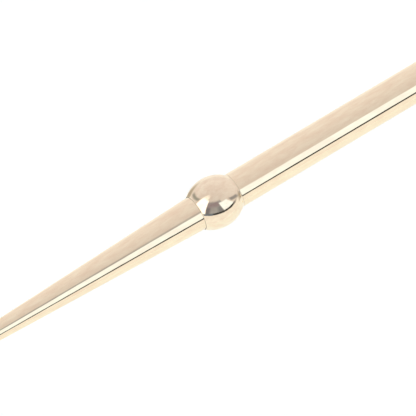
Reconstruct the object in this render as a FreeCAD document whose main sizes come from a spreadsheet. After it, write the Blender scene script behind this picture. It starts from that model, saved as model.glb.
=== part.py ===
"""Bar-shaped tie tack with a spring-loaded ball clutch, as a parametric FreeCAD document.

The head is a round bar along X: a straight arm, a ball and a tapered arm. Its post points down, -Z,
through the cloth, and the clutch grips it from below. The origin is on the post's axis, at the back
face of the saddle that joins it to the bar. Every piece of the clutch is drawn from the clutch's own
top face, with depths counted downwards. All lengths are in millimetres.
"""
import FreeCAD, Part
import math
import os
import Sketcher

# Driving dimensions: alias, value, meaning.
driving_dimensions = [
    # the bar
    ("rod_dia", 1.5, "diameter of the straight arm"),
    ("ball_dia", 2.18, "largest diameter of the ball"),
    ("ball_curve", 1.42, "radius of the ball's outline along the bar, which makes it longer than round"),
    ("taper_dia", 1.5, "diameter of the tapered arm at its seat in the ball"),
    ("tip_dia", 0.36, "diameter of the tapered arm at its rounded tip"),
    ("ball_offset", 16.0, "from the post's axis to the ball's centre"),
    ("straight_length", 40.8, "from the ball's centre to the straight arm's end"),
    ("taper_length", 16.3, "from the ball's centre to the tapered arm's tip"),
    ("seat_depth", 0.6, "from the ball's centre to the floor of each arm's seat"),
    ("pin_dia", 0.7, "diameter of the pin that joins the arms through the ball"),
    ("pin_length", 4.0, "length of that pin"),
    # the saddle and the post
    ("saddle_length", 5.0, "length of the saddle along the bar"),
    ("saddle_width", 2.0, "width of the saddle across the bar"),
    ("saddle_floor", 0.5, "metal between the saddle's back face and the bar"),
    ("saddle_height", 0.95, "height of the saddle's side walls above its back face"),
    ("saddle_corner", 0.9, "radius of the saddle's corners"),
    ("collar_dia", 1.9, "diameter of the collar at the post's root"),
    ("collar_seat", 0.2, "how far the collar is let into the saddle"),
    ("collar_drop", 0.4, "how far the collar stands below the saddle"),
    ("collar_edge", 0.08, "thickness of the collar's outer edge and of its end"),
    ("post_dia", 1.1, "diameter of the post"),
    ("post_length", 10.5, "from the saddle's back face to the post's point"),
    ("post_root", 0.45, "how far the post goes up into the saddle"),
    ("point_length", 1.7, "length of the post's tapered point"),
    ("point_radius", 0.12, "radius of the rounded end of the point"),
    # the clutch's housing
    ("cloth_gap", 2.5, "room for tie and shirt between saddle and clutch"),
    ("plate_dia", 7.5, "diameter of the clutch's base plate"),
    ("plate_thick", 0.6, "thickness of the base plate"),
    ("plate_edge", 0.2, "rounding of the base plate's rim"),
    ("boss_depth", 1.1, "depth of the base plate's boss, which enters the shell"),
    ("shell_dia", 5.7, "outside diameter of the housing shell"),
    ("shell_bore", 5.0, "inside diameter of the housing shell"),
    ("shell_depth", 6.6, "depth of the housing shell's end face"),
    ("shell_end_wall", 0.4, "thickness of the housing shell's end wall"),
    ("shell_shoulder", 0.5, "rounding of the housing shell's shoulder"),
    ("stem_hole_dia", 2.6, "hole in the shell's end wall for the plunger's stem"),
    ("seat_thick", 0.15, "thickness of the washer that the spring pushes on"),
    # the bush that rides on the post
    ("bush_bore", 1.2, "bore of the guide bush"),
    ("bush_funnel", 1.7, "diameter of the guide bush's funnel mouth"),
    ("bush_neck", 2.2, "diameter of the guide bush's neck"),
    ("bush_flange", 3.0, "diameter of the guide bush's flange"),
    ("bush_recess", 0.1, "how far the bush stays below the clutch's face"),
    ("bush_clearance", 0.05, "clearance round the guide bush, on the radius and along the axis"),
    # the ball lock
    ("lock_ball_dia", 1.0, "diameter of each locking ball"),
    ("lock_ball_depth", 2.3, "depth of the locking balls' centres at rest"),
    ("lock_gap", 0.02, "gap from a locking ball to the post and to the cone"),
    ("window_clearance", 0.03, "clearance round a locking ball in its window"),
    ("cone_slope", 0.27, "widening of the cone's radius for each millimetre of depth"),
    ("cone_depth", 3.6, "depth of the cone sleeve's wide end"),
    ("cage_bore", 1.3, "bore of the ball cage"),
    ("cage_dia", 2.4, "outside diameter of the ball cage"),
    ("cage_start", 1.5, "depth of the ball cage's upper end"),
    ("cage_flange_dia", 4.7, "diameter of the flange that the spring pushes on"),
    ("cage_flange_start", 3.7, "depth of that flange's upper face"),
    ("cage_flange_thick", 0.3, "thickness of that flange"),
    ("stem_end", 7.8, "depth of the ball cage's lower end, inside the knob"),
    # the spring and the knob
    ("spring_dia", 3.7, "mean diameter of the spring"),
    ("wire_dia", 0.26, "diameter of the spring's wire"),
    ("spring_turns", 3.0, "turns of the spring"),
    ("knob_start", 6.8, "depth of the knob's upper face"),
    ("knob_depth", 9.6, "depth of the knob's lowest point"),
    ("knob_dia", 5.3, "diameter of the knob"),
    ("knob_edge", 0.35, "rounding of the knob's upper rim"),
    ("knob_waist_start", 7.3, "depth at which the knob's finger groove begins"),
    ("knob_waist_end", 8.6, "depth at which the finger groove ends"),
    ("knob_waist_radius", 1.1, "radius of the finger groove's hollow curve"),
    ("knob_crown_radius", 5.0, "radius of the knob's domed end"),
    ("point_room_dia", 1.4, "diameter of the room for the post's point"),
    ("point_room_end", 8.8, "depth of that room's floor"),
]

doc = FreeCAD.newDocument("TieTack")
sheet = doc.addObject("Spreadsheet::Sheet", "Dims")


class Size:
    """A length held twice: as a number, and as the expression that gives it from the sheet."""

    def __init__(self, value, text):
        self.value = value
        self.text = text

    def __add__(self, other):
        return combine(self, other, "+", lambda a, b: a + b)

    def __sub__(self, other):
        return combine(self, other, "-", lambda a, b: a - b)

    def __mul__(self, other):
        return combine(self, other, "*", lambda a, b: a * b)

    def __truediv__(self, other):
        return combine(self, other, "/", lambda a, b: a / b)

    def __neg__(self):
        return Size(-self.value, f"(-1 * {self.text})")


def as_size(number):
    """A Size from a Size or a plain number."""
    return number if isinstance(number, Size) else Size(float(number), str(number))


def combine(left, right, sign, rule):
    """One sum, difference, product or quotient of two lengths."""
    right = as_size(right)
    return Size(rule(left.value, right.value), f"({left.text} {sign} {right.text})")


def root(square):
    """Square root of a Size."""
    return Size(math.sqrt(square.value), f"sqrt({square.text})")


size = {}
for row, (alias, number, meaning) in enumerate(driving_dimensions, start=1):
    sheet.set(f"A{row}", meaning)
    sheet.set(f"B{row}", str(number))
    sheet.setAlias(f"B{row}", alias)
    size[alias] = Size(number, f"Dims.{alias}")
doc.recompute()


def radius(alias):
    """Half of a diameter in the sheet."""
    return size[alias] / 2


zero = as_size(0)


def origin_plane(body, role):
    """The body's own origin plane with this role, such as XZ_Plane."""
    return next(f for f in body.Origin.OriginFeatures if f.Role == role)


def new_body(label, x=zero, z=zero):
    """An empty body, placed at x along the bar and z above the saddle's back face."""
    body = doc.addObject("PartDesign::Body", label)
    body.Label = label
    body.setExpression("Placement.Base.x", x.text)
    body.setExpression("Placement.Base.z", z.text)
    return body


def arc_between(start, end, bend, side):
    """An arc of radius bend from start to end, its centre on the left (side 1) or right (side -1)."""
    chord = end - start
    half = chord.Length / 2
    across = FreeCAD.Vector(-chord.y, chord.x, 0).normalize() * side
    reach = math.sqrt(max(bend * bend - half * half, 0))
    centre = (start + end) / 2 + across * reach
    middle = centre - across * bend
    return Part.Arc(start, middle, end)


def outline(body, role, corners):
    """A closed sketch through the corners, each (x, y) or (x, y, bend, side).

    The second form says that the stretch that arrives at the corner is an arc of radius bend.
    Every corner is dimensioned from the sketch's origin by an expression on the sheet.
    """
    sketch = body.newObject("Sketcher::SketchObject", f"{body.Name}_outline")
    sketch.AttachmentSupport = [(origin_plane(body, role), "")]
    sketch.MapMode = "FlatFace"
    points = [FreeCAD.Vector(c[0].value, c[1].value, 0) for c in corners]
    count = len(corners)
    starts, ends = [], []
    for i in range(count):
        here, there, target = points[i], points[(i + 1) % count], corners[(i + 1) % count]
        if len(target) == 2:
            geo = sketch.addGeometry(Part.LineSegment(here, there), False)
        else:
            geo = sketch.addGeometry(arc_between(here, there, target[2].value, target[3]), False)
        first_is_start = (sketch.getPoint(geo, 1) - here).Length < (sketch.getPoint(geo, 2) - here).Length
        starts.append((geo, 1 if first_is_start else 2))
        ends.append((geo, 2 if first_is_start else 1))
    for i in range(count):
        sketch.addConstraint(Sketcher.Constraint("Coincident", *ends[i], *starts[(i + 1) % count]))
    for i, corner in enumerate(corners):
        for kind, axis, length in (("DistanceX", -2, corner[0]), ("DistanceY", -1, corner[1])):
            if abs(length.value) < 1e-9:
                sketch.addConstraint(Sketcher.Constraint("PointOnObject", *starts[i], axis))
            else:
                index = sketch.addConstraint(Sketcher.Constraint(kind, -1, 1, *starts[i], length.value))
                sketch.setExpression(f"Constraints[{index}]", length.text)
        if len(corner) == 4:
            index = sketch.addConstraint(Sketcher.Constraint("Radius", ends[i - 1][0], corner[2].value))
            sketch.setExpression(f"Constraints[{index}]", corner[2].text)
    doc.recompute()
    return sketch


def turned(label, corners, axis="V_Axis", x=zero, z=zero):
    """A piece turned on a lathe: the outline in the XZ plane, spun about one of its axes."""
    body = new_body(label, x, z)
    sketch = outline(body, "XZ_Plane", corners)
    turn = body.newObject("PartDesign::Revolution", f"{label}_turn")
    turn.Profile = sketch
    turn.ReferenceAxis = (sketch, [axis])
    turn.Angle = 360
    sketch.Visibility = False
    doc.recompute()
    return body


# ---- the bar: two arms and a ball on one line, held by a pin through the ball ----

rod = radius("rod_dia")
ball = radius("ball_dia")
taper = radius("taper_dia")
tip = radius("tip_dia")
pin = radius("pin_dia")
seat = size["seat_depth"]
pin_end = size["pin_length"] / 2
pin_room = pin_end + 0.1
bar_height = size["saddle_floor"] + rod
on_the_bar = {"x": -size["ball_offset"], "z": bar_height}


def make_bar():
    """Ball, straight arm, tapered arm and joining pin, all turned about the bar's own axis."""
    # the ball's outline is an arc whose centre lies beyond the bar's axis, so that it is a short barrel
    curve = size["ball_curve"]
    sunk = curve - ball
    straight_mouth = root(curve * curve - (rod + sunk) * (rod + sunk))
    taper_mouth = root(curve * curve - (taper + sunk) * (taper + sunk))
    turned("centre_ball", [
        (-seat, pin),
        (seat, pin),
        (seat, rod),
        (straight_mouth, rod),
        (-taper_mouth, taper, curve, 1),
        (-seat, taper),
    ], "H_Axis", **on_the_bar)
    end = size["straight_length"]
    turned("straight_arm", [
        (seat, pin),
        (pin_room, pin),
        (pin_room, zero),
        (end, zero),
        (end - rod, rod, rod, 1),
        (seat, rod),
    ], "H_Axis", **on_the_bar)
    end = size["taper_length"]
    turned("tapered_arm", [
        (-seat, pin),
        (-seat, taper),
        (tip - end, tip),
        (-end, zero, tip, 1),
        (-pin_room, zero),
        (-pin_room, pin),
    ], "H_Axis", **on_the_bar)
    bevel = pin / 5
    turned("joining_pin", [
        (-pin_end, zero),
        (-pin_end, pin - bevel),
        (bevel - pin_end, pin),
        (pin_end - bevel, pin),
        (pin_end, pin - bevel),
        (pin_end, zero),
    ], "H_Axis", **on_the_bar)


# ---- the saddle, which cradles the bar, and the post with its collar ----

post = radius("post_dia")
collar = radius("collar_dia")


def make_saddle():
    """A small boat-shaped block: cradle for the bar above, stepped hole for collar and post below."""
    body = new_body("post_saddle")
    half_length = size["saddle_length"] / 2
    half_width = size["saddle_width"] / 2
    sketch = outline(body, "XY_Plane", [
        (-half_length, -half_width),
        (half_length, -half_width),
        (half_length, half_width),
        (-half_length, half_width),
    ])
    block = body.newObject("PartDesign::Pad", "saddle_block")
    block.Profile = sketch
    block.setExpression("Length", size["saddle_height"].text)
    doc.recompute()
    upright = [
        f"Edge{i}"
        for i, edge in enumerate(block.Shape.Edges, start=1)
        if abs(edge.tangentAt(edge.FirstParameter).z) > 0.99
    ]
    corners = body.newObject("PartDesign::Fillet", "saddle_corners")
    corners.Base = (block, upright)
    corners.setExpression("Radius", size["saddle_corner"].text)
    doc.recompute()
    circle = body.newObject("Sketcher::SketchObject", "saddle_cradle_circle")
    circle.AttachmentSupport = [(origin_plane(body, "YZ_Plane"), "")]
    circle.MapMode = "FlatFace"
    centre = FreeCAD.Vector(0, bar_height.value, 0)
    circle.addGeometry(Part.Circle(centre, FreeCAD.Vector(0, 0, 1), rod.value), False)
    circle.addConstraint(Sketcher.Constraint("PointOnObject", 0, 3, -2))
    index = circle.addConstraint(Sketcher.Constraint("DistanceY", -1, 1, 0, 3, bar_height.value))
    circle.setExpression(f"Constraints[{index}]", bar_height.text)
    index = circle.addConstraint(Sketcher.Constraint("Radius", 0, rod.value))
    circle.setExpression(f"Constraints[{index}]", rod.text)
    doc.recompute()
    before = body.Shape.Volume
    cradle = body.newObject("PartDesign::Pocket", "saddle_cradle")
    cradle.Profile = circle
    cradle.Midplane = True
    cradle.setExpression("Length", (size["saddle_length"] * 2).text)
    doc.recompute()
    assert body.Shape.Volume < before - 1, "the cradle cut nothing"
    before = body.Shape.Volume
    hole = outline(body, "XZ_Plane", [
        (zero, -size["collar_edge"]),
        (collar, -size["collar_edge"]),
        (collar, size["collar_seat"]),
        (post, size["collar_seat"]),
        (post, size["post_root"]),
        (zero, size["post_root"]),
    ])
    groove = body.newObject("PartDesign::Groove", "saddle_post_hole")
    groove.Profile = hole
    groove.ReferenceAxis = (hole, ["V_Axis"])
    groove.Angle = 360
    doc.recompute()
    assert body.Shape.Volume < before - 0.3, "the post's hole cut nothing"


def make_post():
    """The pointed post, and the brazed collar round its root."""
    end = size["post_length"]
    point = size["point_radius"]
    turned("post", [
        (zero, size["post_root"]),
        (post, size["post_root"]),
        (post, size["point_length"] - end),
        (point, point - end),
        (zero, -end, point, -1),
    ])
    drop = size["collar_drop"]
    edge = size["collar_edge"]
    turned("post_collar", [
        (post, size["collar_seat"]),
        (collar, size["collar_seat"]),
        (collar, -edge),
        (post + edge, -drop, drop, 1),
        (post, -drop),
    ])


# ---- the clutch: depths are counted down from its top face ----

clutch_height = {"z": -size["cloth_gap"]}
boss = radius("shell_bore")
clearance = size["bush_clearance"]
cage = radius("cage_dia")
cage_bore = radius("cage_bore")
lock_ball = radius("lock_ball_dia")
lock_ball_count = 3
lock_ball_reach = post + lock_ball + size["lock_gap"]
slope = size["cone_slope"]


def make_guide():
    """The bush that rides on the post, in the base plate that turns round it."""
    plate = size["plate_thick"]
    boss_end = size["boss_depth"]
    bore = radius("bush_bore")
    mouth = radius("bush_funnel")
    neck = radius("bush_neck")
    flange = radius("bush_flange")
    top = size["bush_recess"]
    turned("guide_bush", [
        (mouth, -top),
        (neck, -top),
        (neck, -(plate + clearance)),
        (flange, -(plate + clearance)),
        (flange, clearance - boss_end),
        (bore, clearance - boss_end),
        (bore, -(top + mouth - bore)),
    ], **clutch_height)
    rim = radius("plate_dia")
    edge = size["plate_edge"]
    turned("base_plate", [
        (neck + clearance, zero),
        (rim - edge, zero),
        (rim, -edge, edge, -1),
        (rim, edge - plate),
        (rim - edge, -plate, edge, -1),
        (boss, -plate),
        (boss, -boss_end),
        (flange + clearance, -boss_end),
        (flange + clearance, -plate),
        (neck + clearance, -plate),
    ], **clutch_height)


def make_housing():
    """The drawn shell, the hard cone that the balls wedge in, and the spring's washer."""
    plate = size["plate_thick"]
    shell = radius("shell_dia")
    bottom = size["shell_depth"]
    inside = bottom - size["shell_end_wall"]
    shoulder = size["shell_shoulder"]
    stem_hole = radius("stem_hole_dia")
    turned("housing_shell", [
        (boss, -plate),
        (shell, -plate),
        (shell, shoulder - bottom),
        (shell - shoulder, -bottom, shoulder, -1),
        (stem_hole, -bottom),
        (stem_hole, -inside),
        (boss, -inside),
    ], **clutch_height)
    # the cone passes every locking ball at the same gap, so its radius beside the ball's centre is
    # the ball's reach plus the ball's radius and gap, measured square to the slope
    slant = root(slope * slope + 1)
    beside_ball = lock_ball_reach + (lock_ball + size["lock_gap"]) * slant
    narrow = beside_ball - (size["lock_ball_depth"] - size["boss_depth"]) * slope
    wide = beside_ball + (size["cone_depth"] - size["lock_ball_depth"]) * slope
    turned("cone_sleeve", [
        (narrow, -size["boss_depth"]),
        (boss, -size["boss_depth"]),
        (boss, -size["cone_depth"]),
        (wide, -size["cone_depth"]),
    ], **clutch_height)
    turned("spring_washer", [
        (stem_hole, size["seat_thick"] - inside),
        (boss, size["seat_thick"] - inside),
        (boss, -inside),
        (stem_hole, -inside),
    ], **clutch_height)


def make_ball_cage():
    """The plunger's tube: three windows for the balls, a flange for the spring, a stem for the knob."""
    flange = radius("cage_flange_dia")
    flange_start = size["cage_flange_start"]
    flange_end = flange_start + size["cage_flange_thick"]
    body = turned("ball_cage", [
        (cage_bore, -size["cage_start"]),
        (cage, -size["cage_start"]),
        (cage, -flange_start),
        (flange, -flange_start),
        (flange, -flange_end),
        (cage, -flange_end),
        (cage, -size["stem_end"]),
        (cage_bore, -size["stem_end"]),
    ], **clutch_height)
    window = lock_ball + size["window_clearance"]
    depth = size["lock_ball_depth"]
    circle = body.newObject("Sketcher::SketchObject", "window_circle")
    circle.AttachmentSupport = [(origin_plane(body, "YZ_Plane"), "")]
    circle.MapMode = "FlatFace"
    centre = FreeCAD.Vector(0, -depth.value, 0)
    circle.addGeometry(Part.Circle(centre, FreeCAD.Vector(0, 0, 1), window.value), False)
    circle.addConstraint(Sketcher.Constraint("PointOnObject", 0, 3, -2))
    index = circle.addConstraint(Sketcher.Constraint("DistanceY", -1, 1, 0, 3, -depth.value))
    circle.setExpression(f"Constraints[{index}]", (-depth).text)
    index = circle.addConstraint(Sketcher.Constraint("Radius", 0, window.value))
    circle.setExpression(f"Constraints[{index}]", window.text)
    doc.recompute()
    before = body.Shape.Volume
    cut = body.newObject("PartDesign::Pocket", "window")
    cut.Profile = circle
    cut.Reversed = True
    cut.setExpression("Length", size["cage_dia"].text)
    doc.recompute()
    one_window = before - body.Shape.Volume
    assert one_window > 0.2, "the window cut nothing"
    windows = body.newObject("PartDesign::PolarPattern", "windows")
    windows.Originals = [cut]
    windows.Axis = (next(f for f in body.Origin.OriginFeatures if f.Role == "Z_Axis"), [""])
    windows.Angle = 360
    windows.Occurrences = lock_ball_count
    body.Tip = windows
    doc.recompute()
    all_windows = before - body.Shape.Volume
    assert abs(all_windows - lock_ball_count * one_window) < 0.01, "the windows are not all there"


def make_locking_balls():
    """Hardened balls spaced evenly round the post."""
    for number in range(lock_ball_count):
        label = f"lock_ball_{number + 1}"
        sphere = doc.addObject("Part::Sphere", label)
        sphere.Label = label
        sphere.setExpression("Radius", lock_ball.text)
        turn = 360 * number / lock_ball_count
        sphere.setExpression("Placement.Base.x", f"{lock_ball_reach.text} * cos({turn} deg)")
        sphere.setExpression("Placement.Base.y", f"{lock_ball_reach.text} * sin({turn} deg)")
        sphere.setExpression("Placement.Base.z", (-(size["cloth_gap"] + size["lock_ball_depth"])).text)


def make_spring():
    """A wire coil between the cage's flange and the washer, swept along a helix."""
    flange_end = size["cage_flange_start"] + size["cage_flange_thick"]
    washer_face = size["shell_depth"] - size["shell_end_wall"] - size["seat_thick"]
    wire = radius("wire_dia")
    touch_gap = wire / 10
    rise = washer_face - flange_end - (wire + touch_gap) * 2
    bottom = -(size["cloth_gap"] + washer_face) + wire + touch_gap
    coil = doc.addObject("Part::Helix", "spring_path")
    coil.setExpression("Radius", radius("spring_dia").text)
    coil.setExpression("Height", rise.text)
    coil.setExpression("Pitch", (rise / size["spring_turns"]).text)
    coil.setExpression("Placement.Base.z", bottom.text)
    section = doc.addObject("Part::Circle", "spring_section")
    section.setExpression("Radius", wire.text)
    section.Placement.Rotation = FreeCAD.Rotation(FreeCAD.Vector(1, 0, 0), 90)
    section.setExpression("Placement.Base.x", radius("spring_dia").text)
    section.setExpression("Placement.Base.z", bottom.text)
    doc.recompute()
    spring = doc.addObject("Part::Sweep", "release_spring")
    spring.Label = "release_spring"
    spring.Sections = [section]
    spring.Spine = (coil, [])
    spring.Solid = True
    spring.Frenet = True
    doc.recompute()


def make_knob():
    """The knob: blind, so that it hides the post's point, with a hollow curve round it for fingers."""
    top = size["knob_start"]
    knob = radius("knob_dia")
    edge = size["knob_edge"]
    bottom = size["knob_depth"]
    crown = size["knob_crown_radius"]
    crown_drop = crown - root(crown * crown - knob * knob)
    room = radius("point_room_dia")
    turned("pull_knob", [
        (cage, -top),
        (knob - edge, -top),
        (knob, -(top + edge), edge, -1),
        (knob, -size["knob_waist_start"]),
        (knob, -size["knob_waist_end"], size["knob_waist_radius"], 1),
        (knob, crown_drop - bottom),
        (zero, -bottom, crown, -1),
        (zero, -size["point_room_end"]),
        (room, -size["point_room_end"]),
        (room, -size["stem_end"]),
        (cage, -size["stem_end"]),
    ], **clutch_height)


make_bar()
make_saddle()
make_post()
make_guide()
make_housing()
make_ball_cage()
make_locking_balls()
make_spring()
make_knob()
doc.recompute()

# ---- every feature is checked, and then each piece is written to its own file ----

failed = [o.Name for o in doc.Objects if "Invalid" in o.State or "Error" in o.State]
assert not failed, f"failed features: {failed}"
pieces = [
    o for o in doc.Objects
    if o.TypeId in ("PartDesign::Body", "Part::Sphere", "Part::Sweep")
]
os.makedirs("parts", exist_ok=True)
for piece in pieces:
    shape = piece.Shape
    assert not shape.isNull() and shape.isValid(), f"{piece.Label} has no valid shape"
    assert len(shape.Solids) == 1, f"{piece.Label} has {len(shape.Solids)} solids"
    shape.exportStep(os.path.join("parts", f"{piece.Label}.step"))
    print(f"{piece.Label:16s} {shape.Volume:9.4f} mm3")
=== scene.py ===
import math

import bmesh
import bpy
import numpy as np
from mathutils import Matrix, Vector


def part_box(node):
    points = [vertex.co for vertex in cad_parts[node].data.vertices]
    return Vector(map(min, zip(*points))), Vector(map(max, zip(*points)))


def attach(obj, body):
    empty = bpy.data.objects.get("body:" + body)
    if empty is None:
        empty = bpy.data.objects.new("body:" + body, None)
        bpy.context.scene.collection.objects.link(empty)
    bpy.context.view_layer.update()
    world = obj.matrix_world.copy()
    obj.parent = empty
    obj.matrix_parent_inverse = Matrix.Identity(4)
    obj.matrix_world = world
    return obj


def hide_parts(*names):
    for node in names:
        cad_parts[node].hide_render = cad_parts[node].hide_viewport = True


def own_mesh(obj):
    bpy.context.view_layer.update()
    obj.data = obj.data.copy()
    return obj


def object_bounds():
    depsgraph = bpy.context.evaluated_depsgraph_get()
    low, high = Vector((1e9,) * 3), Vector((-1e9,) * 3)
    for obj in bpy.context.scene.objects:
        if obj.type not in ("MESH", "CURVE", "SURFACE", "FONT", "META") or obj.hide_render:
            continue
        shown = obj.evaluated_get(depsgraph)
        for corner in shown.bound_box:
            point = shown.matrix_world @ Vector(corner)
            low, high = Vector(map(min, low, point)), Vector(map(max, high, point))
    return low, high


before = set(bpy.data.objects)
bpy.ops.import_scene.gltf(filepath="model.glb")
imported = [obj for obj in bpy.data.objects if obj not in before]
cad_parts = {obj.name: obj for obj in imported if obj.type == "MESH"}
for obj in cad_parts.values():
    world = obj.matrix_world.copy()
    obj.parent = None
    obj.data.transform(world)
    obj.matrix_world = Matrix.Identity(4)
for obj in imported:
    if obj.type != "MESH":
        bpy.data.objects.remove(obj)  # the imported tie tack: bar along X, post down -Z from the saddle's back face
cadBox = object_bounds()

mm = 0.001
print("frame loaded:", len(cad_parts), "CAD pieces")


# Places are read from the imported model. Everything below is worked out in millimetres.
def nodeBox(node):
    # The low and the high corner of a CAD piece's box: its metres divided by mm.
    low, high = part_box(node)
    return np.array(low) / mm, np.array(high) / mm


ballLow, ballHigh = nodeBox("centre_ball")
armLow, armHigh = nodeBox("straight_arm")
taperLow, taperHigh = nodeBox("tapered_arm")
ballRadius = (ballHigh[2] - ballLow[2]) / 2
rodRadius = (armHigh[2] - armLow[2]) / 2
taperRadius = (taperHigh[2] - taperLow[2]) / 2
seatDepth = 0.6  # each arm's end lies this far from the ball's centre
solderLine = 0.97  # and this far from it the straight arm leaves the ball
barCentre = np.array([armLow[0] - seatDepth, 0.0, (ballLow[2] + ballHigh[2]) / 2])
postOrigin = np.zeros(3)
clutchFace = nodeBox("base_plate")[1] * [0, 0, 1]  # centre of the clutch's face against the cloth


def roundedProfile(corners, loop=False, arcStep=9.0, runStep=0.2):
    # The outline of a turned piece. Each corner is (along, radius, rounding): where a rounding is given the
    # corner becomes an arc tangent to both of its sides, in steps of about arcStep degrees. Straight runs
    # are divided so that no two points are more than runStep apart.
    points = np.array([c[:2] for c in corners], float)
    count = len(points)
    path = []
    for i, here in enumerate(points):
        rounding = corners[i][2] if len(corners[i]) > 2 else 0
        if not rounding or (not loop and i in (0, count - 1)):
            path.append(here[None, :])
            continue
        back = points[i - 1] - here
        on = points[(i + 1) % count] - here
        back /= np.linalg.norm(back)
        on /= np.linalg.norm(on)
        half = math.acos(np.clip(back @ on, -1, 1)) / 2
        centre = here + (back + on) / np.linalg.norm(back + on) * rounding / math.sin(half)
        start = here + back * rounding / math.tan(half) - centre
        sweep = -np.sign(back[0] * on[1] - back[1] * on[0]) * (math.pi - 2 * half)
        angle = sweep * np.linspace(0, 1, max(2, math.ceil(math.degrees(abs(sweep)) / arcStep)) + 1)
        cos, sin = np.cos(angle), np.sin(angle)
        path.append(centre + np.stack([start[0] * cos - start[1] * sin, start[0] * sin + start[1] * cos], 1))
    path = np.concatenate(path)
    ends = np.concatenate([path, path[:1]]) if loop else path
    runs = []
    for here, on in zip(ends[:-1], ends[1:]):
        pieces = max(1, math.ceil(np.linalg.norm(on - here) / runStep))
        runs.append(here + (on - here) * np.linspace(0, 1, pieces, endpoint=False)[:, None])
    return np.concatenate(runs if loop else runs + [path[-1:]])


def arc(centre, radius, start, end, steps):
    # Points of an arc from start to end degrees: the centre plus radius times cosine and sine.
    angle = np.radians(np.linspace(start, end, steps + 1))
    return np.stack([centre[0] + radius * np.cos(angle), centre[1] + radius * np.sin(angle)], 1)


def gridMesh(name, points, wrapRows=False, wrapColumns=False):
    # A mesh from a grid of points (rows, columns, 3): each cell is a quad, and the grid may close on
    # itself along either side.
    rows, columns = points.shape[:2]
    index = np.arange(rows * columns).reshape(rows, columns)
    if wrapRows:
        index = np.concatenate([index, index[:1]], 0)
    if wrapColumns:
        index = np.concatenate([index, index[:, :1]], 1)
    quads = np.stack([index[:-1, :-1], index[:-1, 1:], index[1:, 1:], index[1:, :-1]], -1).reshape(-1, 4)
    mesh = bpy.data.meshes.new(name)
    mesh.from_pydata((points.reshape(-1, 3) * mm).tolist(), [], quads.tolist())
    return mesh


def turnedMesh(name, profile, origin, axis="Z", segments=192, loop=False):
    # A surface of revolution: (along, radius) goes to along on the axis, and to radius times cosine
    # and sine of the turn across it.
    turn = np.linspace(0, 2 * math.pi, segments, endpoint=False)
    along, radius = profile[:, :1], profile[:, 1:]
    first, second = radius * np.cos(turn), radius * np.sin(turn)
    level = np.broadcast_to(along, first.shape)
    order = (level, first, second) if axis == "X" else (first, second, level)
    return gridMesh(name, np.stack(order, -1) + origin, loop, True)


samePlace = 1e-8  # points closer than this many metres are one


def weld(mesh):
    # Poles and seams are merged, and the faces are turned outwards.
    shape = bmesh.new()
    shape.from_mesh(mesh)
    bmesh.ops.remove_doubles(shape, verts=shape.verts, dist=samePlace)
    bmesh.ops.dissolve_degenerate(shape, edges=shape.edges, dist=samePlace)
    bmesh.ops.recalc_face_normals(shape, faces=shape.faces)
    shape.to_mesh(mesh)
    shape.free()


def finishPiece(mesh, body, material, nodes, sharp=35):
    # The mesh becomes a piece that rides on its body in place of its CAD nodes. Edges that turn more
    # than sharp degrees stay crisp.
    weld(mesh)
    mesh.shade_smooth()
    mesh.set_sharp_from_angle(angle=math.radians(sharp))
    piece = bpy.data.objects.new(mesh.name, mesh)
    bpy.context.scene.collection.objects.link(piece)
    piece.data.materials.append(material)
    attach(piece, body)
    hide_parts(*nodes)
    return piece


def linear(hexColour, strength=1.0):
    # sRGB hex to linear light: below 0.04045 divided by 12.92, above it the 2.4 power curve.
    srgb = np.array([int(hexColour[i:i + 2], 16) / 255 for i in (1, 3, 5)])
    light = np.where(srgb <= 0.04045, srgb / 12.92, ((srgb + 0.055) / 1.055) ** 2.4)
    return (*(light * strength).tolist(), 1.0)


def addNode(tree, kind, settings=None, inputs=None):
    # settings are the node's own fields. Of its inputs, a source is linked and a number is set.
    node = tree.nodes.new(kind)
    for field, setting in (settings or {}).items():
        setattr(node, field, setting)
    for socket, value in (inputs or {}).items():
        if isinstance(value, bpy.types.NodeSocket):
            tree.links.new(value, node.inputs[socket])
        else:
            node.inputs[socket].default_value = value
    return node


patterns = {
    "detail": {"cloud": 3.0, "tooling": 4.0},  # octaves of finer noise
    "grain": 0.55,                             # strength of each finer octave
    "low": 0.3, "high": 0.7,                   # the part of the noise's range that is used
}


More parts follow.
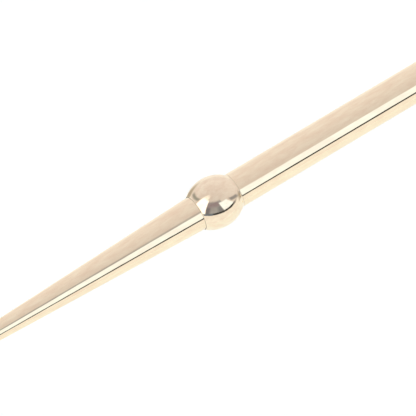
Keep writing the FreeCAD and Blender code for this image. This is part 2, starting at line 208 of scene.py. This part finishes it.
def makeFinish(name, look):
    # Two close tints blended by one noise. A second noise, the marks of the tool, gives the gloss and a
    # shallow bump. A noise's cells measure the three sizes that the look gives for it.
    material = bpy.data.materials.new(name)
    material.use_nodes = True
    tree = material.node_tree
    shader = tree.nodes["Principled BSDF"]
    shader.inputs["Metallic"].default_value = look["metallic"]
    if "ior" in look:
        shader.inputs["IOR"].default_value = look["ior"]
    place = addNode(tree, "ShaderNodeTexCoord").outputs["Object"]
    noise = {}
    for layer, detail in patterns["detail"].items():
        cells = addNode(tree, "ShaderNodeMapping", inputs={
            "Vector": place, "Scale": [1 / (size * mm) for size in look[layer]],
        })
        noise[layer] = addNode(tree, "ShaderNodeTexNoise", inputs={
            "Vector": cells.outputs["Vector"], "Scale": 1.0, "Detail": detail, "Roughness": patterns["grain"],
        }).outputs["Fac"]
    blend = addNode(tree, "ShaderNodeMapRange", inputs={
        "Value": noise["cloud"], "From Min": patterns["low"], "From Max": patterns["high"],
    }).outputs["Result"]
    colour = addNode(tree, "ShaderNodeMix", {"data_type": "RGBA"}, {
        0: blend, 6: linear(look["colours"][0]), 7: linear(look["colours"][1]),
    }).outputs[2]
    roughness = addNode(tree, "ShaderNodeMapRange", inputs={
        "Value": noise["tooling"], "From Min": patterns["low"], "From Max": patterns["high"],
        "To Min": look["roughness"][0], "To Max": look["roughness"][1],
    }).outputs["Result"]
    if "solderAndShade" in look:
        # where the straight arm leaves the ball: a duller line of solder, and a darker colour painted as the shade
        # in that joint; 1 where X is at its place, falling smoothly to 0 at its reach
        solderAndShade = look["solderAndShade"]
        along = addNode(tree, "ShaderNodeSeparateXYZ", inputs={"Vector": place}).outputs["X"]
        away = addNode(tree, "ShaderNodeMath", {"operation": "SUBTRACT"}, {0: along, 1: solderAndShade["place"] * mm})
        away = addNode(tree, "ShaderNodeMath", {"operation": "ABSOLUTE"}, {0: away.outputs[0]})
        shadeAndSolderMask = addNode(tree, "ShaderNodeMapRange", {"interpolation_type": "SMOOTHSTEP"}, {
            "Value": away.outputs[0], "From Min": solderAndShade["reach"] * mm, "From Max": 0.0,
        }).outputs["Result"]
        # painted shade: the colour darkens towards the joint's line
        colour = addNode(tree, "ShaderNodeMix", {"data_type": "RGBA"}, {
            0: shadeAndSolderMask, 6: colour, 7: linear(solderAndShade["colour"]),
        }).outputs[2]
        roughness = addNode(tree, "ShaderNodeMix", inputs={
            0: shadeAndSolderMask, 2: roughness, 3: solderAndShade["roughness"],
        }).outputs[0]
    bump = addNode(tree, "ShaderNodeBump", inputs={
        "Height": noise["tooling"], "Strength": 1.0, "Distance": look["depth"] * mm,
    })
    tree.links.new(colour, shader.inputs["Base Color"])
    tree.links.new(bump.outputs["Normal"], shader.inputs["Normal"])
    tree.links.new(roughness, shader.inputs["Roughness"])
    return material


# Lengths in millimetres: cloud is the size of the paler and warmer areas, tooling the length and the
# spacing of the marks, depth their height.
finishes = {
    # gold plate on turned brass, buffed along the bar: a mirror with fine lines drawn along it
    "buffedGoldPlateBar": {
        "metallic": 1.0, "colours": ("#feeecf", "#f7e0c2"), "roughness": (0.025, 0.07),
        "cloud": (0.7, 0.2, 0.2), "tooling": (3.5, 0.075, 0.075), "depth": 0.0009,
    },
    # the same plate on the ball and the small fittings, buffed in all directions
    "buffedGoldPlateBall": {
        "metallic": 1.0, "colours": ("#fdedd0", "#f4dec2"), "roughness": (0.04, 0.09),
        # solder shows there as a slightly duller line, with painted shade: a darker colour where the arm leaves the
        # ball
        "solderAndShade": {"place": barCentre[0] + solderLine, "reach": 0.09, "colour": "#ead9bc", "roughness": 0.2},
        "cloud": (0.3, 0.22, 0.22), "tooling": (0.25, 0.09, 0.09), "depth": 0.001,
    },
    # plated over drawn wire that wasn't buffed: softer, with the drawing lines along the post
    "drawnGoldPlatePost": {
        "metallic": 1.0, "colours": ("#f8e2b6", "#f3daa8"), "roughness": (0.14, 0.22),
        "cloud": (0.5, 0.5, 2.0), "tooling": (0.06, 0.06, 2.5), "depth": 0.0006,
    },
    # gold plate on pressed and spun brass: slightly deeper colour, fine turning lines round the axis
    "spunGoldPlateClutch": {
        "metallic": 1.0, "colours": ("#f6e0b0", "#f1d8a2"), "roughness": (0.1, 0.17),
        "cloud": (2.0, 2.0, 1.0), "tooling": (1.5, 1.5, 0.06), "depth": 0.0006,
    },
    # bare turned brass inside the clutch
    "turnedBrassCage": {
        "metallic": 1.0, "colours": ("#e3c67d", "#d9b96c"), "roughness": (0.18, 0.28),
        "cloud": (1.5, 1.5, 1.5), "tooling": (1.5, 1.5, 0.06), "depth": 0.0008,
    },
    # hardened and ground steel: cool grey, with grinding lines round the bore
    "groundHardSteel": {
        "metallic": 1.0, "colours": ("#b9bbbd", "#a9abae"), "roughness": (0.2, 0.3),
        "cloud": (1.5, 1.5, 1.5), "tooling": (1.2, 1.2, 0.05), "depth": 0.0006,
    },
    # bearing steel, lapped to a mirror
    "lappedBallSteel": {
        "metallic": 1.0, "colours": ("#c9cbcd", "#c3c5c8"), "roughness": (0.05, 0.08),
        "cloud": (0.5, 0.5, 0.5), "tooling": (0.1, 0.1, 0.1), "depth": 0.0001,
    },
    # bright drawn spring wire
    "drawnSpringSteel": {
        "metallic": 1.0, "colours": ("#a4a4a2", "#949492"), "roughness": (0.22, 0.32),
        "cloud": (0.6, 0.6, 0.3), "tooling": (0.5, 0.5, 0.05), "depth": 0.0004,
    },
    # moulded natural nylon: milky, with a faint moulding texture
    "mouldedNylonBush": {
        "metallic": 0.0, "ior": 1.53, "colours": ("#ece8dc", "#e4dfd0"), "roughness": (0.38, 0.5),
        "cloud": (0.8, 0.8, 0.8), "tooling": (0.08, 0.08, 0.08), "depth": 0.002,
    },
}
material = {name: makeFinish(name, look) for name, look in finishes.items()}
barGold = material["buffedGoldPlateBar"]
ballGold = material["buffedGoldPlateBall"]
clutchGold = material["spunGoldPlateClutch"]
print("finishes made:", len(material))


bar = {
    "segments": 288,
    "pinRadius": 0.35,
    "pinRoom": 2.1,      # depth of the pin's hole in each arm, from the ball's centre
    "ballCurve": 1.42,   # radius of the ball's outline along the bar: a little longer than round
    "seam": 0.006,       # gap round the tapered arm in its seat
    "mouthEdge": 0.02,   # rounding of the ball's edge there
    "fillet": 0.16,      # the solder's hollow curve between the ball and the straight arm
    "tipRadius": 0.18,
    "endEdge": 0.02,     # rounding of each arm's hidden end
    "filletStart": 268,  # where the fillet's arc begins, degrees: just under the arm's surface
    "filletSteps": 14, "ballSteps": 110, "endSteps": 32, "tipSteps": 16,
}


def makeBar():
    pin, room, seam = bar["pinRadius"], bar["pinRoom"], bar["seam"]
    # Ball: a short barrel, whose outline is an arc about a point that lies sunk beyond the axis. The
    # fillet's centre is one fillet above the arm, and one arc radius and fillet from that point, so that
    # it touches both. The outline ends at the tapered arm's mouth.
    curve, fillet = bar["ballCurve"], bar["fillet"]
    sunk = curve - ballRadius
    filletHeight = rodRadius + fillet
    filletAlong = math.sqrt((curve + fillet) ** 2 - (filletHeight + sunk) ** 2)
    touch = math.degrees(math.atan2(filletHeight + sunk, filletAlong))
    mouth = 180 - math.degrees(math.asin((taperRadius + seam + bar["mouthEdge"] + sunk) / curve))
    mouthAlong = -math.sqrt(curve ** 2 - (taperRadius + sunk) ** 2)
    profile = np.concatenate([
        arc((filletAlong, filletHeight), fillet, bar["filletStart"], 180 + touch, bar["filletSteps"]),
        arc((0, -sunk), curve, touch, mouth, bar["ballSteps"])[1:],
        roundedProfile([
            (mouthAlong + bar["mouthEdge"], taperRadius + seam), (-seatDepth, taperRadius + seam),
            (-seatDepth, pin + seam), (seatDepth, pin + seam),
            (seatDepth, rodRadius - seam), (filletAlong, rodRadius - seam),
        ]),
    ])
    mesh = turnedMesh("ball", profile, barCentre, "X", bar["segments"], True)
    finishPiece(mesh, "head", ballGold, ["centre_ball"])
    # Straight arm: parallel, with a half-round end.
    end = armHigh[0] - barCentre[0]
    dome = arc((end - rodRadius, 0), rodRadius, 90, 0, bar["endSteps"])
    profile = np.concatenate([roundedProfile([
        (room, 0), (room, pin), (seatDepth, pin), (seatDepth, rodRadius, bar["endEdge"]), tuple(dome[0]),
    ]), dome[1:]])
    mesh = turnedMesh("straightArm", profile, barCentre, "X", bar["segments"])
    finishPiece(mesh, "head", barGold, ["straight_arm"])
    # Tapered arm: its radius falls evenly from the seat to the small round tip, which the line touches.
    tip = bar["tipRadius"]
    end = barCentre[0] - taperLow[0]
    slope = math.degrees(math.asin((taperRadius - tip) / (end - tip - seatDepth)))
    tipDome = arc((tip - end, 0), tip, 90 + slope, 180, bar["tipSteps"])
    profile = np.concatenate([roundedProfile([
        (-room, 0), (-room, pin), (-seatDepth, pin), (-seatDepth, taperRadius, bar["endEdge"]),
        tuple(tipDome[0]),
    ]), tipDome[1:]])
    mesh = turnedMesh("taperedArm", profile, barCentre, "X", bar["segments"])
    finishPiece(mesh, "head", barGold, ["tapered_arm"])


makeBar()
print("bar made")


saddle = {
    "length": 5.0, "width": 2.0, "height": 0.95,
    "corner": 0.9,
    "rows": 25,        # points across each of its flat lands
    "columns": 90,     # points along it
    "edge": 0.09,      # rounding of its edges
    "edgeSteps": 4,
    "sharp": 30, "bevelFrom": 40,  # degrees between faces: shaded as an edge, and rounded
}


def makeSaddle():
    # Across the bar: a flat base, and a top that is flat at the sides and follows the bar in the middle,
    # height = bar axis - root(rod radius squared - y squared). Along it: x = u times the half length at
    # that y, where the plan's corners are arcs.
    halfWidth = saddle["width"] / 2
    lip = math.sqrt(rodRadius ** 2 - (barCentre[2] - saddle["height"]) ** 2)
    land = np.linspace(-halfWidth, -lip, saddle["rows"])
    cradle = lip * np.sin(np.radians(np.linspace(-90, 90, 2 * saddle["rows"])))
    across = np.concatenate([land, cradle[1:-1], -land[::-1]])
    top = np.where(np.abs(across) < lip, barCentre[2] - np.sqrt(np.maximum(rodRadius ** 2 - across ** 2, 0)),
                   saddle["height"])
    corner = saddle["corner"]
    fromCorner = np.maximum(np.abs(across) - (halfWidth - corner), 0)
    halfLength = saddle["length"] / 2 - corner + np.sqrt(np.maximum(corner ** 2 - fromCorner ** 2, 0))
    u = np.sin(np.radians(np.linspace(-90, 90, saddle["columns"])))
    x = halfLength[:, None] * u
    y = np.broadcast_to(across[:, None], x.shape)
    upper = np.stack([x, y, np.broadcast_to(top[:, None], x.shape)], -1)
    lower = np.stack([x, y, np.zeros_like(x)], -1)
    ring = np.concatenate([lower, upper[::-1]])  # the section's outline, carried along the bar
    mesh = gridMesh("saddle", ring, True, False)
    # each end is closed by a wall between the lower and the upper outline
    walls = [np.stack([lower[:, end], upper[:, end]], 1) for end in (0, -1)]
    shape = bmesh.new()
    shape.from_mesh(mesh)
    for wall in walls:
        shape.from_mesh(gridMesh("saddleWall", wall))
    shape.to_mesh(mesh)
    shape.free()
    piece = finishPiece(mesh, "head", ballGold, ["post_saddle"], saddle["sharp"])
    bevel = piece.modifiers.new("edges", "BEVEL")
    bevel.width, bevel.segments = saddle["edge"] * mm, saddle["edgeSteps"]
    bevel.limit_method, bevel.angle_limit = "ANGLE", math.radians(saddle["bevelFrom"])
    bevel.harden_normals = True


makeSaddle()
print("saddle made")


post = {
    "radius": 0.55, "root": 0.45, "end": -10.5, "taperStart": -8.8, "pointRadius": 0.12,
    "shoulder": 2.0,   # rounding where the taper starts
    "collarRadius": 0.95, "collarTop": 0.2, "collarEdge": -0.08, "collarEnd": -0.4, "braze": 0.4,
    "collarFoot": 0.63,
    "shoulderStep": 1.5, "pointSteps": 12, "flareSteps": 14,
}


def makePost():
    # A cylinder, then a cone whose line touches the small round point: the line falls by the angle to the
    # point's centre less the angle that the point's radius takes up.
    centre = post["end"] + post["pointRadius"]
    run = post["taperStart"] - centre
    fall = math.atan2(post["radius"], run) - math.asin(post["pointRadius"] / math.hypot(run, post["radius"]))
    point = arc((centre, 0), post["pointRadius"], 90 + math.degrees(fall), 180, post["pointSteps"])
    profile = np.concatenate([roundedProfile([
        (post["root"], 0), (post["root"], post["radius"]),
        (post["taperStart"], post["radius"], post["shoulder"]), tuple(point[0]),
    ], arcStep=post["shoulderStep"]), point[1:]])
    mesh = turnedMesh("post", profile, postOrigin)
    finishPiece(mesh, "head", material["drawnGoldPlatePost"], ["post"])
    # The collar's flare is a hollow quarter arc between its rim and its foot.
    rim, foot = (post["collarEdge"], post["collarRadius"]), (post["collarEnd"], post["collarFoot"])
    middle = (np.array(rim) + foot) / 2
    half = math.dist(rim, foot) / 2
    away = np.array([-1.0, 1.0]) / math.sqrt(2) * math.sqrt(post["braze"] ** 2 - half ** 2)
    reach = math.degrees(math.asin(half / post["braze"]))
    flare = arc(middle + away, post["braze"], reach - 45, -reach - 45, post["flareSteps"])
    profile = np.concatenate([
        roundedProfile([(post["collarEnd"], post["radius"]), (post["collarTop"], post["radius"]),
                        (post["collarTop"], post["collarRadius"]), rim]),
        flare[1:],
    ])
    mesh = turnedMesh("collar", profile, postOrigin, loop=True)
    finishPiece(mesh, "head", ballGold, ["post_collar"])


makePost()
print("post made")


# Each turned piece of the clutch: corners are (depth below the clutch's face, radius, rounding).
clutch = {
    "bush": {
        "body": "guide", "slot": "nylon", "node": "guide_bush", "finish": "mouldedNylonBush",
        "corners": [(0.1, 0.85, 0.03), (0.1, 1.1, 0.03), (0.65, 1.1), (0.65, 1.5), (1.05, 1.5), (1.05, 0.6),
                    (0.35, 0.6, 0.1)],
    },
    "plate": {
        "body": "housing", "slot": "clutch_gold", "node": "base_plate", "finish": "spunGoldPlateClutch",
        "corners": [(0, 1.15, 0.04), (0, 3.75, 0.2), (0.6, 3.75, 0.2), (0.6, 2.5), (1.1, 2.5), (1.1, 1.55),
                    (0.6, 1.55), (0.6, 1.15)],
    },
    "shell": {
        "body": "housing", "slot": "clutch_gold", "node": "housing_shell", "finish": "spunGoldPlateClutch",
        "corners": [(0.6, 2.5), (0.6, 2.85, 0.04), (6.6, 2.85, 0.5), (6.6, 1.3, 0.06), (6.2, 1.3),
                    (6.2, 2.5)],
    },
    "cone": {
        "body": "housing", "slot": "hard_steel", "node": "cone_sleeve", "finish": "groundHardSteel",
        "corners": [(1.1, 1.285, 0.03), (1.1, 2.49), (3.6, 2.49), (3.6, 1.96, 0.05)],
    },
    "washer": {
        "body": "housing", "slot": "hard_steel", "node": "spring_washer", "finish": "groundHardSteel",
        "corners": [(6.05, 1.3, 0.03), (6.05, 2.49), (6.2, 2.49), (6.2, 1.3)],
    },
}
clutchArcStep = 7.0


def makeClutch():
    # Each piece's corners are rounded into a closed outline, which is turned round the post's axis.
    for name, part in clutch.items():
        corners = [(-depth, *rest) for depth, *rest in part["corners"]]
        profile = roundedProfile(corners, True, clutchArcStep)
        mesh = turnedMesh(name, profile, clutchFace, loop=True)
        finishPiece(mesh, part["body"], material[part["finish"]], [part["node"]])


makeClutch()
print("clutch made")


knob = {
    "radius": 2.65, "top": 6.8, "bottom": 9.6, "topEdge": 0.35, "stem": 1.2, "stemEnd": 7.8,
    "waist": (7.2, 8.7),     # depths between which the fingers' groove runs
    "waistDepth": 0.213,
    "crownRadius": 5.0,
    "crownEdge": 0.14,
    "room": (0.7, 8.8),      # radius and floor of the hole for the post's point
    "segments": 224, "waistSteps": 48, "crownSteps": 30, "arcStep": 6,
}


def makeKnob():
    # The groove's radius is the knob's less its depth times the squared sine of pi times the way through
    # it, so it starts and ends smoothly. The crown is an arc about a point on the axis.
    start, end = knob["waist"]
    way = np.linspace(0, 1, knob["waistSteps"])
    waist = np.stack([-(start + (end - start) * way),
                      knob["radius"] - knob["waistDepth"] * np.sin(math.pi * way) ** 2], 1)
    crown = knob["crownRadius"]
    edge = 180 - math.degrees(math.asin(knob["radius"] / crown))
    dome = arc((crown - knob["bottom"], 0), crown, edge, 180, knob["crownSteps"])
    roomRadius, floor = knob["room"]
    inside = roundedProfile([
        (-floor, 0), (-floor, roomRadius), (-knob["stemEnd"], roomRadius), (-knob["stemEnd"], knob["stem"]),
        (-knob["top"], knob["stem"]), (-knob["top"], knob["radius"], knob["topEdge"]), tuple(waist[0]),
    ], arcStep=knob["arcStep"])
    # the rim's rounding takes the place of the crown's first points
    rim = roundedProfile([tuple(waist[-1]), (*dome[0], knob["crownEdge"]), tuple(dome[2])],
                         arcStep=knob["arcStep"])
    profile = np.concatenate([inside, waist[1:-1], rim, dome[3:]])
    mesh = turnedMesh("knob", profile, clutchFace, segments=knob["segments"])
    finishPiece(mesh, "plunger", clutchGold, ["pull_knob"])


makeKnob()
print("knob made")


lock = {"balls": 3, "segments": 96, "steps": 48}


def makeLockBalls():
    # A half circle from pole to pole, turned round the ball's own centre.
    for number in range(1, lock["balls"] + 1):
        node = f"lock_ball_{number}"
        low, high = nodeBox(node)
        radius = (high[2] - low[2]) / 2
        half = arc((0, 0), radius, 0, 180, lock["steps"])
        mesh = turnedMesh(f"lockBall{number}", half, (low + high) / 2, segments=lock["segments"])
        finishPiece(mesh, node, material["lappedBallSteel"], [node])


makeLockBalls()


spring = {
    "radius": 1.85, "wire": 0.13, "turns": 3.0, "room": (4.0, 6.05),
    "stroke": 1.0,     # how far the knob pulls the cage towards the washer
    "closed": 0.6,     # turns at each end that lie nearly flat
    "pointsPerTurn": 90, "pointsRound": 20,
    "endStep": 0.7,    # how far the last ring of each end is drawn in, as a part of the wire's radius
    "evening": 0.35,   # how much the rise slows at its two ends: 1 would start it level
    "clear": 1.1,      # room for the end coils, in radii of the wire
}


def makeSpring():
    # The wire's centre runs round a circle and rises by a smooth step of the turn, so that the end coils
    # lie flat. Each ring of the tube is across the wire's own direction, and each end is closed to a point.
    count = int(spring["turns"] * spring["pointsPerTurn"])
    turns = np.linspace(0, spring["turns"], count)
    closed = spring["closed"]
    rising = np.clip((turns - closed / 2) / (spring["turns"] - closed), 0, 1)
    rising = rising - np.sin(2 * math.pi * rising) / (2 * math.pi) * spring["evening"]
    top, bottom = spring["room"]
    clear = spring["wire"] * spring["clear"]
    level = -bottom + clear + rising * (bottom - top - 2 * clear)
    angle = 2 * math.pi * turns
    centre = np.stack([spring["radius"] * np.cos(angle), spring["radius"] * np.sin(angle), level], 1)
    outward = np.stack([np.cos(angle), np.sin(angle), np.zeros(count)], 1)
    along = np.gradient(centre, axis=0)
    along /= np.linalg.norm(along, axis=1, keepdims=True)
    upward = np.cross(outward, along)
    upward /= np.linalg.norm(upward, axis=1, keepdims=True)
    size = np.full(count + 4, spring["wire"])
    size[[0, -1]], size[[1, -2]] = 0, spring["wire"] * spring["endStep"]
    pad = [0, 0] + list(range(count)) + [count - 1, count - 1]
    turn = np.linspace(0, 2 * math.pi, spring["pointsRound"], endpoint=False)[None, :, None]
    tube = centre[pad][:, None] + size[:, None, None] * (
        outward[pad][:, None] * np.cos(turn) + upward[pad][:, None] * np.sin(turn))
    mesh = gridMesh("spring", tube + clutchFace, False, True)
    piece = finishPiece(mesh, "housing", material["drawnSpringSteel"], ["release_spring"])
    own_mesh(piece)


makeSpring()
print("locking balls and spring made")


# The pieces that stay as they come are shut away inside, and take a plain finish.
for node, name in (("joining_pin", "buffedGoldPlateBar"), ("ball_cage", "turnedBrassCage")):
    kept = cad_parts[node]
    kept.data.materials.clear()
    kept.data.materials.append(material[name])


studio = {
    "tilt": 6.4,               # the bar lay with its straight end raised this much, degrees
    "azimuth": -33.5,          # the studio's front, where the camera stands round the table
    "elevation": 50.0,         # and how high above it
    "distance": 0.25,          # metres
    "sight": (0.01, 5.0),      # nearest and furthest that it sees, metres
    "frameWidth": 16.77 * mm,  # what the picture takes in at the ball
    "ballRight": 0.262 * mm,   # the ball sits this far right of the picture's middle
    "ballUp": 0.230 * mm,
    "floorDrop": 10.0,         # the floor lies this far under the clutch's knob, mm
    "floorRadius": 40.0,
    "floorColour": "#f0f6f1",
    "floorRoughness": 0.9,
    "floorGlow": 0.26,         # a little light of its own keeps it white under the object
    "floorSegments": 96,
    "roomRadius": 1400.0,
    "roomSegments": 48,
    "tableEdge": 1.5,          # softness of the table's far edge, degrees
    "table": ("#ffffff", 1.0),
    "ceiling": ("#fffbff", 0.79),
    "ceilingFall": -0.129,     # how much it darkens towards the camera's side
}
# Soft cards round the table, in degrees. left and right are azimuths from the studio's front, which is at
# studio["azimuth"], and low and high are elevations. Each has how far it leans for every degree of the
# other, then the softness of the edge. A later card lies over an earlier one.
cards = [
    {  # dim corner behind, right
        "left": (104, 0, 20), "right": (150, 0, 20), "low": (-36, 0, 16), "high": (2, 0, 14),
        "light": ("#e0d8cc", 0.55),
    },
    {  # dim corner behind, left
        "left": (-152, 0, 20), "right": (-122, 0, 20), "low": (-36, 0, 16), "high": (-2, 0, 14),
        "light": ("#e0d8cc", 0.66),
    },
    {  # the front of the room
        "left": (-28, 0, 8), "right": (44, 0, 8), "low": (-2, 0, 3), "high": (54, 0, 12),
        "light": ("#eef2ff", 0.45),
    },
    {  # its darker left part
        "left": (-30, 0, 6), "right": (-6, 0, 14), "low": (0, 0, 4), "high": (36, 0, 14),
        "light": ("#e8e8ff", 0.26),
    },
    {  # its darker right part
        "left": (22, 0, 14), "right": (46, 0, 4), "low": (2, 0, 4), "high": (33, 0, 14),
        "light": ("#e6eeff", 0.32),
    },
    {  # its darker top
        "left": (-22, 0, 10), "right": (32, 0, 14), "low": (33, 0, 14), "high": (52, 0, 12),
        "light": ("#f6ebff", 0.36),
    },
    {  # its foot
        "left": (-28, 0, 6), "right": (12, 0, 10), "low": (-2, 0, 2), "high": (7, 0, 4),
        "light": ("#c8e0ff", 0.3),
    },
    {  # shade over the right end
        "left": (78, 0, 6), "right": (106, 0, 12), "low": (80, -0.77, 7), "high": (94, -0.77, 7),
        "light": ("#e8ecf8", 0.42),
    },
    {  # shade over the left end
        "left": (-125, 0, 16), "right": (-82, 0, 10), "low": (91, 0.7, 8), "high": (102, 0.7, 8),
        "light": ("#e8f0f0", 0.45),
    },
    {  # high window
        "left": (-80, 0, 14), "right": (-38, 0, 14), "low": (50, 0, 8), "high": (74, 0, 16),
        "light": ("#ffffff", 1.12),
    },
    {  # tall window on the right
        "left": (44, -0.3, 4), "right": (83, -0.4, 5), "low": (6, 0, 1.6), "high": (49.5, -0.15, 5),
        "light": ("#e6f3ff", 1.36),
    },
    {  # large window on the left
        "left": (-76, 0, 6), "right": (-19, -0.16, 5), "low": (5, 0, 3), "high": (58, 0, 10),
        "light": ("#ffffff", 1.7),
    },
    {  # dark gap under the right window
        "left": (6, 0, 10), "right": (86, 0, 26), "low": (-1.6, 0, 1.6), "high": (6.6, 0, 1.6),
        "light": ("#cfd4d8", 0.07),
    },
]


def makeWorld():
    # Light by direction alone. Azimuth is the arctangent of the level parts and elevation the arcsine of
    # the height, both measured from the tilted table. Each edge of a card is a smooth step of azimuth or
    # elevation, less its lean times the other, and the card's mask is the product of its four edges.
    world = bpy.data.worlds.new("softStudio")
    bpy.context.scene.world = world
    world.use_nodes = True
    tree = world.node_tree
    tree.nodes.clear()
    place = addNode(tree, "ShaderNodeTexCoord")
    turned = addNode(tree, "ShaderNodeMapping", {"vector_type": "POINT"}, {
        "Vector": place.outputs["Generated"],
        "Rotation": (0, -math.radians(studio["tilt"]), -math.radians(studio["azimuth"])),
    })
    part = addNode(tree, "ShaderNodeSeparateXYZ", inputs={"Vector": turned.outputs["Vector"]}).outputs
    forward = addNode(tree, "ShaderNodeMath", {"operation": "MULTIPLY"}, {0: part["Y"], 1: -1.0}).outputs[0]
    azimuth = addNode(tree, "ShaderNodeMath", {"operation": "ARCTAN2"}, {0: part["X"], 1: forward}).outputs[0]
    elevation = addNode(tree, "ShaderNodeMath", {"operation": "ARCSINE"}, {0: part["Z"]}).outputs[0]
    fall = addNode(tree, "ShaderNodeMath", {"operation": "MULTIPLY_ADD"}, {
        0: forward, 1: studio["ceilingFall"] / studio["ceiling"][1], 2: 1.0,
    })
    light = addNode(tree, "ShaderNodeMix", {"data_type": "RGBA", "blend_type": "MULTIPLY"}, {
        0: 1.0, 6: linear(*studio["ceiling"]), 7: fall.outputs[0],
    }).outputs[2]
    half = math.radians(studio["tableEdge"] / 2)
    table = addNode(tree, "ShaderNodeMapRange", {"interpolation_type": "SMOOTHSTEP"}, {
        "Value": elevation, "From Min": -half, "From Max": half, "To Min": 1.0, "To Max": 0.0,
    })
    light = addNode(tree, "ShaderNodeMix", {"data_type": "RGBA"}, {
        0: table.outputs["Result"], 6: light, 7: linear(*studio["table"]),
    }).outputs[2]
    sides = (
        ("left", azimuth, elevation, 0.0), ("right", azimuth, elevation, 1.0),
        ("low", elevation, azimuth, 0.0), ("high", elevation, azimuth, 1.0),
    )
    for card in cards:
        mask = 1.0
        for side, value, other, before in sides:
            at, lean, soft = card[side]
            if lean:
                value = addNode(tree, "ShaderNodeMath", {"operation": "MULTIPLY_ADD"}, {
                    0: other, 1: -lean, 2: value,
                }).outputs[0]
            edge = addNode(tree, "ShaderNodeMapRange", {"interpolation_type": "SMOOTHSTEP"}, {
                "Value": value, "To Min": before, "To Max": 1.0 - before,
                "From Min": math.radians(at - soft / 2), "From Max": math.radians(at + soft / 2),
            }).outputs["Result"]
            mask = addNode(tree, "ShaderNodeMath", {"operation": "MULTIPLY"}, {0: edge, 1: mask}).outputs[0]
        light = addNode(tree, "ShaderNodeMix", {"data_type": "RGBA"}, {
            0: mask, 6: light, 7: linear(*card["light"]),
        }).outputs[2]
    background = addNode(tree, "ShaderNodeBackground", inputs={"Color": light})
    addNode(tree, "ShaderNodeOutputWorld", inputs={"Surface": background.outputs[0]})


def makeStage():
    # A plain white floor, and a pale room that only the camera sees: a straight line and a half circle,
    # both turned round the post's axis.
    low = cadBox[0].z / mm - studio["floorDrop"]
    rings = np.array([(low, 0.0), (low, 0.5), (low, 1.0)]) * [1, studio["floorRadius"]]
    floorMesh = turnedMesh("floor", rings, postOrigin, segments=studio["floorSegments"])
    weld(floorMesh)
    floor = bpy.data.objects.new("floor", floorMesh)
    paper = bpy.data.materials.new("mattWhitePaper")
    paper.use_nodes = True
    shader = paper.node_tree.nodes["Principled BSDF"]
    shader.inputs["Base Color"].default_value = linear(studio["floorColour"])
    shader.inputs["Roughness"].default_value = studio["floorRoughness"]
    shader.inputs["Emission Color"].default_value = linear("#ffffff")
    shader.inputs["Emission Strength"].default_value = studio["floorGlow"]
    floor.data.materials.append(paper)
    half = arc((0, 0), studio["roomRadius"], 0, 180, studio["roomSegments"] // 2)
    roomMesh = turnedMesh("room", half, postOrigin, segments=studio["roomSegments"])
    weld(roomMesh)
    room = bpy.data.objects.new("room", roomMesh)
    glow = bpy.data.materials.new("paleRoom")
    glow.use_nodes = True
    glow.node_tree.nodes.clear()
    lit = addNode(glow.node_tree, "ShaderNodeEmission", inputs={"Color": linear("#ffffff"), "Strength": 1.0})
    addNode(glow.node_tree, "ShaderNodeOutputMaterial", inputs={"Surface": lit.outputs[0]})
    room.data.materials.append(glow)
    for sight in ("visible_diffuse", "visible_glossy", "visible_shadow", "visible_transmission"):
        setattr(room, sight, False)
    for thing in (floor, room):
        bpy.context.scene.collection.objects.link(thing)


def makeCamera():
    # The camera looks from its azimuth and elevation, with the table's tilt turned into its own.
    azimuth, elevation = math.radians(studio["azimuth"]), math.radians(studio["elevation"])
    toCamera = Vector((math.sin(azimuth) * math.cos(elevation), -math.cos(azimuth) * math.cos(elevation),
                       math.sin(elevation)))
    facing = toCamera.to_track_quat("Z", "Y").to_matrix()
    facing = Matrix.Rotation(math.radians(studio["tilt"]), 3, "Y") @ facing  # as the raised bar sees it
    right, up, back = facing.col
    target = Vector(barCentre * mm) - right * studio["ballRight"] - up * studio["ballUp"]
    camera = bpy.data.objects.new("camera", bpy.data.cameras.new("camera"))
    camera.data.lens = camera.data.sensor_width * studio["distance"] / studio["frameWidth"]
    camera.data.clip_start, camera.data.clip_end = studio["sight"]
    camera.matrix_world = Matrix.Translation(target + back * studio["distance"]) @ facing.to_4x4()
    bpy.context.scene.collection.objects.link(camera)
    bpy.context.scene.camera = camera


makeWorld()
makeStage()
makeCamera()
bpy.context.scene.view_settings.view_transform = "Standard"
print("stage, light and camera made")
